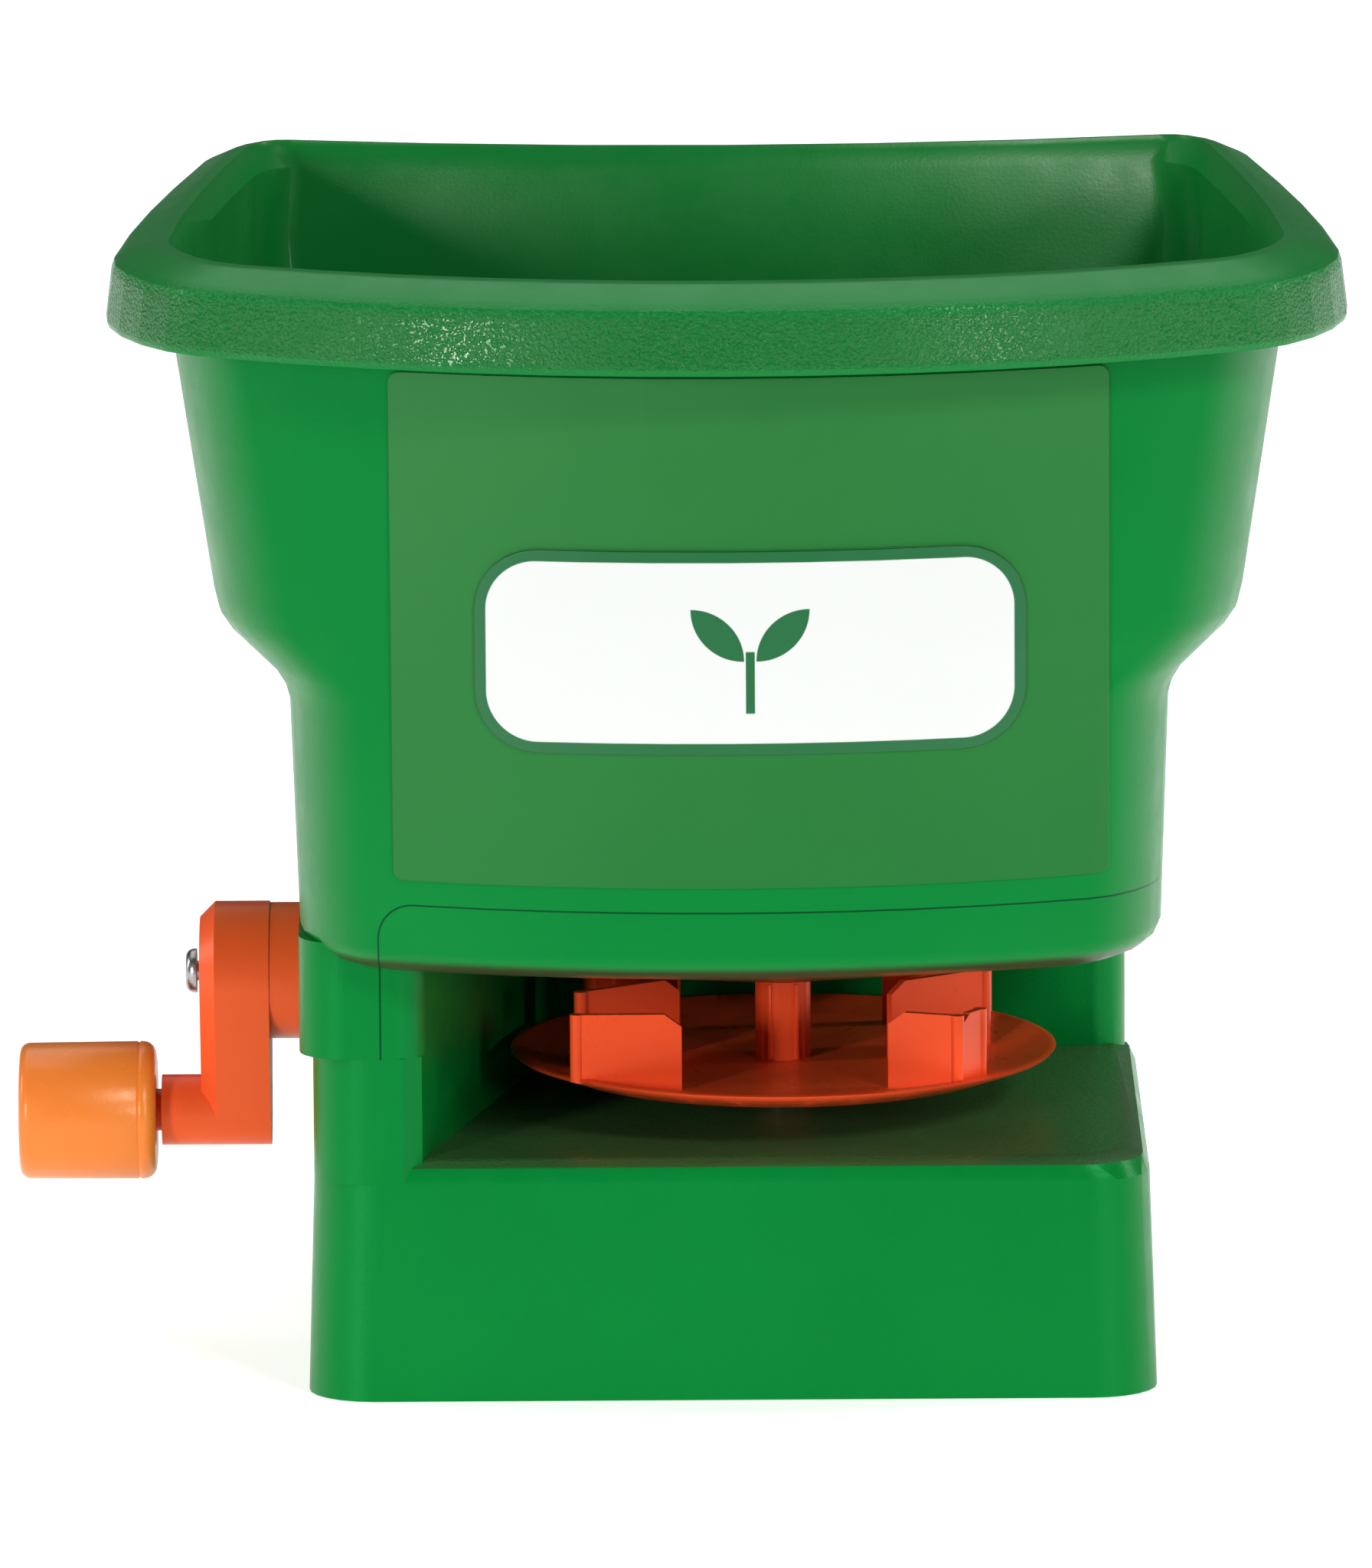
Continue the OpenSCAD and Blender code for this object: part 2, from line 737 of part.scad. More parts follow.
module spinner_disc() {
    floor_r = disc_r - 9;
    lip_z = disc_z + 3.8;
    rotate_extrude($fn = 96) polygon(concat(
        [[0, disc_z - 1.6], [8, disc_z - 1.6], [9, disc_z], [floor_r, disc_z]],
        [[disc_r - disc_t / 2, lip_z - disc_t / 2], [disc_r, lip_z], [disc_r - disc_t, lip_z + 0.3]],
        [[floor_r - 1, disc_z + disc_t], [0, disc_z + disc_t]]
    ));
}

// Upright vane from the inner to the outer point, with a chamfered inner top corner
module vane(inner, outer) {
    run = outer - inner;
    length = norm(run);
    h = vane_top - disc_z;
    difference() {
        translate([inner[0], inner[1], disc_z]) rotate(atan2(run[1], run[0])) union() {
            translate([0, disc_t / 2, 0]) rotate([90, 0, 0]) linear_extrude(disc_t)
                polygon([[0, 0], [length, 0], [length, h], [3.4, h], [0, h - 2.5]]);
            translate([length, 0, 0]) cylinder(d = 2.6, h = h, $fn = 24);
        }
        below_disc();
    }
}

// Space under the dished disc
module below_disc() {
    rotate_extrude($fn = 96) polygon([
        [0, disc_z - 5], [disc_r + 5, disc_z - 5], [disc_r + 5, disc_z + 4.6],
        [disc_r - disc_t / 2, disc_z + 3], [disc_r - 9, disc_z + 0.8], [0, disc_z + 0.8]
    ]);
}

module spinner() {
    color("#dc3b22") difference() {
        union() {
            spinner_disc();
            translate([0, 0, disc_z]) cylinder(d = hub_d, h = hub_z - 0.4 - disc_z);
            translate([0, 0, base_h + 2]) cylinder(d = hub_d, h = disc_z - base_h - 2);
            for (half = [0, 180])
                rotate(half) {
                    vane([-20, -34.8] * vane_scale, [-40.6, -34.8] * vane_scale);
                    vane([20.7, -33] * vane_scale, [34, -38] * vane_scale);
                    vane([34, -38] * vane_scale, [38.5, -31] * vane_scale);
                    vane([21, -3] * vane_scale, [40, 11] * vane_scale);
                }
        }
        translate([0, 0, base_h]) cylinder(d = shaft_d + 2 * seat_gap, h = hub_z - base_h);
    }
}

module spinner_clip() {
    color("#8f9499") tube_at(0, 0, bush_d + 2, shaft_d + 2 * seat_gap, shaft_z0 + 1, shaft_z0 + 2.8);
}

module tube_at(x, y, d_out, d_in, z0, z1) {
    translate([x, y, 0]) tube(d_out, d_in, z0, z1);
}

module agitator() {
    z0 = floor_z + floor_t + 2.6;
    color("#dc3b22") difference() {
        union() {
            translate([0, 0, z0]) cylinder(d = 15, h = agitator_h);
            translate([-26, 0, z0 + 4]) rotate([0, 90, 0]) cylinder(d = 4.4, h = 52);
            for (side = [-1, 1])
                translate([side * 25, 0, z0 + 1.4]) cylinder(d = 5.6, h = 12);
        }
        translate([0, 0, z0 - 1]) cylinder(d = shaft_d + 2 * seat_gap, h = agitator_h - 1.5);
    }
}

// ---- Bushes ----

module crank_bush() {
    for (x = [case_left, case_right - wall - 2])
        color("#20242a") difference() {
            along_x(x, wall + 2, bush_d, 0, crank_z);
            along_x(x - 1, wall + 4, drive_d + 2 * run_gap, 0, crank_z);
        }
}

module bush(z0, z1) {
    color("#20242a") tube(bush_d, shaft_d + 2 * run_gap, z0, z1);
}

module floor_bush() {
    bush(floor_z - 1, floor_z + floor_t + 2);
}

module pan_bush() {
    bush(hub_z, hub_z + 9);
}

module base_bush() {
    bush(base_h - 8, base_h + 1.4);
}

// ---- Gate and trigger ----

module gate() {
    z1 = gate_z + gate_t;
    color("#d9dcd6") difference() {
        union() {
            box(port_x - gate_w / 2, port_x + gate_w / 2, gate_y0, gate_y0 + gate_len, gate_z, z1);
            box(port_x, body_x + tongue_w / 2, gate_y0 + gate_len - 14, gate_y0 + gate_len, gate_z, z1);
            box(body_x - tongue_w / 2, body_x + tongue_w / 2, gate_y0 + gate_len - 14, pivot_y - 9, gate_z, z1);
            box(body_x - 3, body_x + 3, pivot_y - 12, pivot_y + 5, gate_z, z1);
            box(body_x - 3, body_x + 3, pivot_y - 5, pivot_y + 5, gate_z - 3, z1 + 5.5);
        }
        box(body_x - 4, body_x + 4, pivot_y - link_d / 2 - 0.5, pivot_y + link_d / 2 + 0.5,
            gate_z + gate_t / 2 - link_d / 2 - 0.3, gate_z + gate_t / 2 + link_d / 2 + 2.9);
    }
}

module trigger() {
    foot = pivot_z - 48;
    half = blade_t / 2;
    color("#e8582c") difference() {
        translate([body_x - blade_w / 2, 0, 0]) rotate([90, 0, 90]) linear_extrude(blade_w) union() {
            translate([pivot_y, pivot_z]) circle(d = 10);
            polygon(concat(
                [[pivot_y - half, pivot_z], [pivot_y - half, foot + 4]],
                arc(pivot_y + half + 0.5, foot + 3, 3, 250, 360, 5),
                [[pivot_y + half + 1, foot + 16], [pivot_y + half, pivot_z - 24], [pivot_y + half, pivot_z]]
            ));
        }
        box(body_x - 3.6, body_x + 3.6, pivot_y - 10, pivot_y + 10, gate_z - 8.4, gate_z + gate_t + 9);
        along_x(body_x - 20, 40, link_d + 2 * seat_gap, pivot_y, gate_z + gate_t / 2);
        along_x(body_x - 20, 40, pivot_d + 2 * run_gap, pivot_y, pivot_z);
    }
}

module trigger_link() {
    color("#c4c7ca") along_x(body_x - blade_w / 2, blade_w, link_d, pivot_y, gate_z + gate_t / 2);
}

module trigger_pin() {
    color("#c4c7ca") along_x(body_x - handle_t / 2 + 1, handle_t - 2, pivot_d, pivot_y, pivot_z);
}

// Torsion spring beside the trigger's hub, drawn at rest
module return_spring() {
    wire = 0.9;
    color("#b9bcc0") translate([body_x + blade_w / 2 + 0.9, pivot_y, pivot_z]) {
        rotate([0, 90, 0]) rotate_extrude($fn = 32)
            for (i = [0:2])
                translate([pivot_d / 2 + 0.9, i * 0.8]) circle(d = wire, $fn = 16);
        translate([0, pivot_d / 2 + 0.95, -5]) cylinder(d = 0.7, h = 5, $fn = 16);
        translate([1.6, -pivot_d / 2 - 0.95, 0]) cylinder(d = 0.7, h = 9, $fn = 16);
    }
}

// ---- Handle ----

module handle_plan() {
    offset(r = 5, $fn = 32) offset(delta = -5) polygon([
        [pad_y, pivot_z - 8], [pad_y, handle_top], [grip_end - 16, handle_top], [grip_end + 2, handle_top - 14],
        [grip_end, pivot_z + 4], [grip_end + 2, handle_foot + 20], [grip_end - 10, handle_foot - 8],
        [foot_y, handle_foot - 8], [foot_y, handle_foot + 16], [grip_y - 6, handle_foot + 20],
        [grip_y, handle_foot + 28], [grip_y, pivot_z - 18], [grip_y - 8, pivot_z - 8]
    ]);
    square_ends();
}

// Squared front ends of the two arms, where they meet their pads
module square_ends() {
    translate([pad_y, pivot_z - 8]) square([8, handle_top - pivot_z + 8]);
    translate([foot_y, handle_foot - 8]) square([8, 24]);
}

// One half of the handle; side is -1 for the left and 1 for the right
module handle_half(side) {
    x0 = side < 0 ? body_x - handle_t / 2 : body_x;
    skin = side < 0 ? wall : 0;
    difference() {
        translate([x0, 0, 0]) rotate([90, 0, 90]) linear_extrude(handle_t / 2) handle_plan();
        difference() {
            translate([x0 + skin, 0, 0]) rotate([90, 0, 90])
                linear_extrude(handle_t / 2 - wall) offset(delta = -wall) handle_plan();
            handle_bosses(x0);
        }
        along_x(body_x - handle_t / 2 + 1, handle_t - 2, pivot_d + 2 * seat_gap, pivot_y, pivot_z);
        box(body_x - blade_w / 2 - 0.8, body_x + blade_w / 2 + 0.8, pad_y + wall, pivot_y + 9, pivot_z - 9, pivot_z - 4);
        for (p = handle_screw_at)
            along_x(body_x - 9, 30, screw_hole, p[0], p[1]);
        for (p = handle_screw_at)
            along_x(body_x + handle_t / 2 - 2.6, 5, screw_head + 0.6, p[0], p[1]);
        if (side < 0)
            along_x(body_x - handle_t / 2 - 1, 12, dial_shaft_d + 2 * run_gap, dial_y, dial_zc);
    }
}

module handle_bosses(x0) {
    for (p = handle_screw_at)
        along_x(x0 - 1, handle_t, 9, p[0], p[1]);
    along_x(body_x - handle_t / 2, handle_t / 2 - blade_w / 2 - 0.5, pivot_d + 4, pivot_y, pivot_z);
    along_x(body_x + blade_w / 2 + 4.2, 3, pivot_d + 4, pivot_y, pivot_z);
}

module handle_left() {
    color("#0a7a35") handle_half(-1);
}

module handle_right() {
    color("#0a7a35") handle_half(1);
}

module handle_screws() {
    for (p = handle_screw_at)
        color("#b9bcc0") {
            along_x(body_x + handle_t / 2 - 2.6, 2, screw_head, p[0], p[1]);
            along_x(body_x - 8, handle_t / 2 + 6, screw_hole - 0.1, p[0], p[1]);
        }
}

module rate_dial() {
    x = body_x - handle_t / 2 - 0.3;
    color("#f08434") difference() {
        union() {
            along_x(x - 7, 7, 27, dial_y, dial_zc);
            along_x(x - 1, 8, dial_shaft_d, dial_y, dial_zc);
            for (k = [0:11])
                translate([x - 7, dial_y, dial_zc]) rotate([k * 30, 0, 0])
                    translate([0, 13.2, 0]) rotate([0, 90, 0]) cylinder(d = 2.4, h = 7, $fn = 16);
        }
        along_x(x - 8, 18, screw_hole, dial_y, dial_zc);
    }
}

module dial_screw() {
    x = body_x - handle_t / 2 - 7.3;
    color("#b9bcc0") {
        along_x(x - 2, 2, screw_head, dial_y, dial_zc);
        along_x(x - 1, 13, screw_hole - 0.1, dial_y, dial_zc);
    }
}

module pan_screws() {
    screw_places() color("#b9bcc0") {
        translate([0, 0, seam_z - 11.6]) cylinder(d = screw_head, h = 2.2);
        translate([0, 0, seam_z - 10]) cylinder(d = screw_hole - 0.1, h = 12.6);
    }
}

hopper();
bottom_pan();
base();
front_label();
badge();
crank_arm();
crank_screw();
drive_shaft();
drive_gear();
knob_pin();
crank_knob();
counter_shaft();
counter_pinion();
counter_bevel();
counter_bearings();
shaft_collar();
spinner_shaft();
spinner_bevel();
spinner();
spinner_clip();
agitator();
crank_bush();
floor_bush();
pan_bush();
base_bush();
gate();
trigger();
trigger_link();
trigger_pin();
return_spring();
rate_dial();
dial_screw();
handle_left();
handle_right();
handle_screws();
pan_screws();
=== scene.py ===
import json
import math

import bpy
from mathutils import Matrix, Vector

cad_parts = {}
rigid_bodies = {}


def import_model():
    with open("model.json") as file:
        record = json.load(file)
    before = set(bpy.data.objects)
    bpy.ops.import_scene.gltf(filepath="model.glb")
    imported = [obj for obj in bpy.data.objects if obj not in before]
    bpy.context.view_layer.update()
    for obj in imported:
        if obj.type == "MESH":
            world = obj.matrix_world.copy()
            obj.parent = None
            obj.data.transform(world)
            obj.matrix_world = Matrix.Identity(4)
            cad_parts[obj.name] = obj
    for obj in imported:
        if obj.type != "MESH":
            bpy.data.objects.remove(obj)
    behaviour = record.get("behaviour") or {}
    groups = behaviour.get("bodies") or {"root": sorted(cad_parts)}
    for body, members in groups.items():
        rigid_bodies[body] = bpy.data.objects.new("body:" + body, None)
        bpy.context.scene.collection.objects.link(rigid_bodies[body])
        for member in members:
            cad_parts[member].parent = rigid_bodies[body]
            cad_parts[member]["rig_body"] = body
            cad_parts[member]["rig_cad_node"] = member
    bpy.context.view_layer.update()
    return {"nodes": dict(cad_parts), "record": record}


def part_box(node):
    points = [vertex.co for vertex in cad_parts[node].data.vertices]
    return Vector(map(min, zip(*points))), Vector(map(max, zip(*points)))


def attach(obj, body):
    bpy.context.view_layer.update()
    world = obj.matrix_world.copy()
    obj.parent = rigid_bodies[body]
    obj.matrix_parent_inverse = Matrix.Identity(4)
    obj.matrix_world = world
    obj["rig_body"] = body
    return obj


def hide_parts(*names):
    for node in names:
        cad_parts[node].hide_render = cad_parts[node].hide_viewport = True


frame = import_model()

mm = 0.001
nodes = frame["nodes"]
print("frame loaded:", len(nodes), "nodes")

# ---- modelling helpers ----


def deselectAll():
    if bpy.context.object and bpy.context.object.mode != "OBJECT":
        bpy.ops.object.mode_set(mode="OBJECT")
    bpy.ops.object.select_all(action="DESELECT")


def pickOnly(piece):
    deselectAll()
    piece.select_set(True)
    bpy.context.view_layer.objects.active = piece


def selectFaces(piece, test):  # leaves the piece in edit mode with only those faces selected
    bpy.ops.object.mode_set(mode="EDIT")
    bpy.ops.mesh.select_mode(type="FACE")
    bpy.ops.mesh.select_all(action="DESELECT")
    bpy.ops.object.mode_set(mode="OBJECT")
    for face in piece.data.polygons:
        face.select = test(face.center, face.normal)
    bpy.ops.object.mode_set(mode="EDIT")


def setPlace(piece):  # moves the place, turn and size into the mesh
    pickOnly(piece)
    bpy.ops.object.transform_apply(location=True, rotation=True, scale=True)


def addModifier(piece, kind, **values):
    pickOnly(piece)
    modifier = piece.modifiers.new(kind.title(), kind)
    for key, value in values.items():
        setattr(modifier, key, value)
    bpy.ops.object.modifier_apply(modifier=modifier.name)


def smooth(piece, angle=32):
    pickOnly(piece)
    bpy.ops.object.shade_smooth_by_angle(angle=math.radians(angle))


edgeValues = {
    "merge": 0.01,
    "flat": 0.6,  # degrees; faces closer than this to one plane are joined
    "angle": 28,
    "segments": 2,
    "smoothAngle": 34,
}


def polished(node, name, bevel, flat):
    # a merged copy of a CAD node with its edges broken, as a moulded piece has them
    pickOnly(nodes[node])
    bpy.ops.object.duplicate()
    piece = bpy.context.object
    piece.name = name
    del piece["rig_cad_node"]
    body = piece["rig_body"]
    bpy.ops.object.mode_set(mode="EDIT")
    bpy.ops.mesh.select_all(action="SELECT")
    bpy.ops.mesh.remove_doubles(threshold=edgeValues["merge"] * mm)
    bpy.ops.mesh.dissolve_limited(angle_limit=math.radians(flat))
    bpy.ops.object.mode_set(mode="OBJECT")
    addModifier(piece, "BEVEL", width=bevel * mm, segments=edgeValues["segments"], limit_method="ANGLE",
                angle_limit=math.radians(edgeValues["angle"]), use_clamp_overlap=True, harden_normals=False)
    smooth(piece, edgeValues["smoothAngle"])
    addModifier(piece, "WEIGHTED_NORMAL", keep_sharp=True, mode="FACE_AREA_WITH_ANGLE")
    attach(piece, body)
    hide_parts(node)
    return piece


def finishPiece(piece, body, material):
    piece.data.materials.clear()
    piece.data.materials.append(material)
    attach(piece, body)
    return piece


def coat(piece, material):
    piece.data.materials.clear()
    piece.data.materials.append(material)
    return piece


# ---- materials ----


def newMaterial(name):
    material = bpy.data.materials.new(name)
    material.use_nodes = True
    tree = material.node_tree
    shader = tree.nodes["Principled BSDF"]
    coords = tree.nodes.new("ShaderNodeTexCoord")
    return material, tree, shader, coords.outputs["Object"]


def noise(tree, coords, scale, detail=3.0, roughness=0.55, stretch=None):
    texture = tree.nodes.new("ShaderNodeTexNoise")
    texture.inputs["Scale"].default_value = scale
    texture.inputs["Detail"].default_value = detail
    texture.inputs["Roughness"].default_value = roughness
    if stretch:
        mapping = tree.nodes.new("ShaderNodeMapping")
        mapping.inputs["Scale"].default_value = stretch
        tree.links.new(coords, mapping.inputs["Vector"])
        coords = mapping.outputs["Vector"]
    tree.links.new(coords, texture.inputs["Vector"])
    return texture.outputs["Fac"]


def ranged(tree, value, low, high, fromLow=0.3, fromHigh=0.7):
    node = tree.nodes.new("ShaderNodeMapRange")
    node.inputs["From Min"].default_value = fromLow
    node.inputs["From Max"].default_value = fromHigh
    node.inputs["To Min"].default_value = low
    node.inputs["To Max"].default_value = high
    tree.links.new(value, node.inputs["Value"])
    return node.outputs["Result"]


def maths(tree, operation, a, b):
    node = tree.nodes.new("ShaderNodeMath")
    node.operation = operation
    for value, socket in zip((a, b), node.inputs):
        if isinstance(value, (int, float)):
            socket.default_value = value
        else:
            tree.links.new(value, socket)
    return node.outputs[0]


def away(tree, x, z):
    # the distance from a point, given how far along and how far up it is
    squared = maths(tree, "ADD", maths(tree, "MULTIPLY", x, x), maths(tree, "MULTIPLY", z, z))
    return maths(tree, "SQRT", squared, 0)


def mixColours(tree, factor, first, second):
    node = tree.nodes.new("ShaderNodeMix")
    node.data_type = "RGBA"
    tree.links.new(factor, node.inputs["Factor"])
    for value, socket in ((first, node.inputs["A"]), (second, node.inputs["B"])):
        if isinstance(value, tuple):
            socket.default_value = (*value, 1)
        else:
            tree.links.new(value, socket)
    return node.outputs["Result"]


def bump(tree, shader, height, distance, after=None):
    node = tree.nodes.new("ShaderNodeBump")
    node.inputs["Strength"].default_value = 1.0
    node.inputs["Distance"].default_value = distance * mm
    tree.links.new(height, node.inputs["Height"])
    if after:
        tree.links.new(after, node.inputs["Normal"])
    tree.links.new(node.outputs["Normal"], shader.inputs["Normal"])
    return node.outputs["Normal"]


def moulded(name, look):
    # moulded plastic: slightly uneven colour and gloss, fine grain and long shallow waves
    material, tree, shader, coords = newMaterial(name)
    patches = noise(tree, coords, 14, 3)
    colour = mixColours(tree, ranged(tree, patches, 0, 1), look["colour"], look["shade"])
    tree.links.new(colour, shader.inputs["Base Color"])
    scuffs = noise(tree, coords, 90, 6, 0.7)
    gloss = ranged(tree, scuffs, look["roughness"] - 0.05, look["roughness"] + 0.06)
    tree.links.new(gloss, shader.inputs["Roughness"])
    waves = noise(tree, coords, 28, 2)
    soft = bump(tree, shader, waves, look.get("waves", 0.25))
    bump(tree, shader, noise(tree, coords, look["grain"], 3, 0.6), look["grainDepth"], soft)
    shader.inputs["Specular IOR Level"].default_value = look.get("specular", 0.5)
    if "tint" in look:
        shader.inputs["Specular Tint"].default_value = (*look["tint"], 1)
    shader.inputs["Coat Weight"].default_value = look.get("coat", 0.0)
    shader.inputs["Coat Roughness"].default_value = 0.25
    if look.get("glow"):
        shader.inputs["Subsurface Weight"].default_value = look["glow"]
        shader.inputs["Subsurface Radius"].default_value = (0.004, 0.0015, 0.0008)
    return material


greenLook = {
    "colour": (0.0, 0.19, 0.027),
    "shade": (0.0, 0.17, 0.023),
    "deckTint": (0.06, 0.12, 0.045),  # a brownish tint on the base's deck
    "underPanShade": (0.045, 0.05, 0.018),  # painted shade and painted reflection of the orange spinner, on the pan's underside over the spinner
    "tint": (0.16, 1.0, 0.4),
    "seamColour": (0.0, 0.03, 0.008),
    "seamWidth": 0.3,
    "seamRadius": 7,
    "underPanShadeSpan": (12.4, 11),  # span of the painted shade, below the pan's top
    "skirtFoot": (16.5, 14.5),  # below the rim's top
    "skirtTop": (6.5, 3.4),
    "paleSpan": (80, 60),
    "roughness": 0.33,
    "grain": 1500,
    "grainDepth": 0.035,
    "waves": 0.3,
    "skirtGrain": 1500,  # coarse leather grain round the rim's skirt
    "skirtDepth": 0.3,
    "skirtGloss": 0.08,
    "deckGrain": 1000,  # stipple on the base's deck
    "deckDepth": 0.16,
}


def caseSeam(tree, place, facing):
    # how much of the dark joint between the hopper and the pan shows at a point
    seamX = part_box("bottom_pan")[0].x
    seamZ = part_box("bottom_pan")[1].z
    radius = greenLook["seamRadius"] * mm
    alongX = maths(tree, "SUBTRACT", seamX + radius, place.outputs["X"])
    alongZ = maths(tree, "SUBTRACT", place.outputs["Z"], seamZ - radius)
    pastX = maths(tree, "MAXIMUM", alongX, 0)
    pastZ = maths(tree, "MAXIMUM", alongZ, 0)
    reach = away(tree, pastX, pastZ)
    apart = maths(tree, "ABSOLUTE", maths(tree, "SUBTRACT", reach, radius), 0)
    width = greenLook["seamWidth"]
    line = ranged(tree, apart, 1, 0, width * 0.4 * mm, width * 0.8 * mm)
    front = ranged(tree, facing.outputs["Y"], 1, 0, -0.3, -0.1)
    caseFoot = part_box("bottom_pan")[0].z
    above = ranged(tree, place.outputs["Z"], 0, 1, caseFoot - 0.2 * mm, caseFoot)
    return maths(tree, "MULTIPLY", line, maths(tree, "MULTIPLY", front, above))


def greenPlastic():
    material, tree, shader, coords = newMaterial("greenPlastic")
    look = greenLook
    patches = noise(tree, coords, 12, 3)
    colour = mixColours(tree, ranged(tree, patches, 0, 1), look["colour"], look["shade"])
    tree.links.new(colour, shader.inputs["Base Color"])
    scuffs = noise(tree, coords, 80, 6, 0.7)
    gloss = ranged(tree, scuffs, look["roughness"] - 0.05, look["roughness"] + 0.07)
    waves = bump(tree, shader, noise(tree, coords, 24, 2), look["waves"])
    fine = bump(tree, shader, noise(tree, coords, look["grain"], 3, 0.6), look["grainDepth"], waves)
    texture = tree.nodes.new("ShaderNodeTexCoord")
    place = tree.nodes.new("ShaderNodeSeparateXYZ")
    facing = tree.nodes.new("ShaderNodeSeparateXYZ")
    tree.links.new(coords, place.inputs[0])
    tree.links.new(texture.outputs["Normal"], facing.inputs[0])
    outward = maths(tree, "MULTIPLY", place.outputs["Y"], facing.outputs["Y"])
    sideways = maths(tree, "MULTIPLY", place.outputs["X"], facing.outputs["X"])
    outside = ranged(tree, maths(tree, "ADD", outward, sideways), 0, 1, 0.0, 0.02)
    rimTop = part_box("hopper")[1].z
    footLow, footHigh = (rimTop - depth * mm for depth in look["skirtFoot"])
    topLow, topHigh = (rimTop - depth * mm for depth in look["skirtTop"])
    above = ranged(tree, place.outputs["Z"], 0, 1, footLow, footHigh)
    below = ranged(tree, place.outputs["Z"], 1, 0, topLow, topHigh)
    skirt = maths(tree, "MULTIPLY", maths(tree, "MULTIPLY", above, below), outside)
    leather = noise(tree, coords, look["skirtGrain"], 2.5, 0.5)
    lumps = ranged(tree, leather, 0, 1, 0.36, 0.62)
    grained = bump(tree, shader, maths(tree, "MULTIPLY", lumps, skirt), look["skirtDepth"], fine)
    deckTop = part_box("spinner")[0].z
    upward = ranged(tree, facing.outputs["Z"], 0, 1, 0.8, 0.95)
    lowDown = ranged(tree, place.outputs["Z"], 1, 0, deckTop, deckTop + 0.5 * mm)
    deck = maths(tree, "MULTIPLY", upward, lowDown)
    stipple = noise(tree, coords, look["deckGrain"], 2, 0.5)
    bump(tree, shader, maths(tree, "MULTIPLY", stipple, deck), look["deckDepth"], grained)
    seam = caseSeam(tree, place, facing)
    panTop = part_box("bottom_pan")[1].z
    # painted shade and painted reflection of the orange spinner: a dull brownish dark colour on the pan's
    # downward faces, above the deck
    downward = ranged(tree, facing.outputs["Z"], 1, 0, -0.75, -0.35)
    underShadeLow, underShadeHigh = (panTop - depth * mm for depth in look["underPanShadeSpan"])
    underPan = maths(tree, "MULTIPLY", downward, ranged(tree, place.outputs["Z"], 1, 0, underShadeLow, underShadeHigh))
    aboveDeck = ranged(tree, place.outputs["Z"], 0, 1, deckTop + 8 * mm, deckTop + 9 * mm)
    paintedUnderShade = maths(tree, "MULTIPLY", underPan, aboveDeck)
    # a brownish tint mixed into the upward faces of the base's deck
    colour = mixColours(tree, maths(tree, "MULTIPLY", deck, 0.75), colour, look["deckTint"])
    colour = mixColours(tree, paintedUnderShade, colour, look["underPanShade"])
    tree.links.new(mixColours(tree, seam, colour, look["seamColour"]), shader.inputs["Base Color"])
    inward = ranged(tree, maths(tree, "ADD", outward, sideways), 1, 0, -0.02, 0.0)
    paleLow, paleHigh = (rimTop - depth * mm for depth in look["paleSpan"])
    insideTop = ranged(tree, place.outputs["Z"], 0, 1, paleLow, paleHigh)
    tree.links.new(maths(tree, "SUBTRACT", gloss, maths(tree, "MULTIPLY", skirt, look["skirtGloss"])),
                   shader.inputs["Roughness"])
    pale = maths(tree, "MAXIMUM", skirt, maths(tree, "MULTIPLY", inward, insideTop))
    tree.links.new(mixColours(tree, pale, look["tint"], (0.9, 1.0, 0.85)), shader.inputs["Specular Tint"])
    shader.inputs["Specular IOR Level"].default_value = 0.42
    return material


filmLook = {
    "top": (0.026, 0.185, 0.04),
    "bottom": (0.01, 0.15, 0.024),
    "roughness": 0.4,
}


def filmGreen():
    # printed film, a little lighter towards its top left
    material, tree, shader, coords = newMaterial("filmGreen")
    low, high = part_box("front_label")
    place = tree.nodes.new("ShaderNodeSeparateXYZ")
    tree.links.new(coords, place.inputs[0])
    rise = ranged(tree, place.outputs["Z"], 0, 0.75, low.z, high.z)
    across = ranged(tree, place.outputs["X"], 0.25, 0, low.x, high.x)
    cloudy = ranged(tree, noise(tree, coords, 30, 4), -0.06, 0.06)
    factor = maths(tree, "ADD", maths(tree, "ADD", rise, across), cloudy)
    tree.links.new(mixColours(tree, factor, filmLook["bottom"], filmLook["top"]), shader.inputs["Base Color"])
    rough = filmLook["roughness"]
    gloss = ranged(tree, noise(tree, coords, 70, 5), rough - 0.04, rough + 0.05)
    tree.links.new(gloss, shader.inputs["Roughness"])
    bump(tree, shader, noise(tree, coords, 1300, 2), 0.02)
    shader.inputs["Specular IOR Level"].default_value = 0.35
    shader.inputs["Specular Tint"].default_value = (0.5, 1, 0.6, 1)
    return material


badgeLook = {
    "white": (0.76, 0.78, 0.76),
    "green": (0.0, 0.13, 0.03),
    "line": 2.1,
    "corner": 12,
    "leafCircles": ((1.3, 8.5), (11.3, -1.5)),  # centres of the two circles that overlap as a leaf
    "leafRadius": 10.2,
}


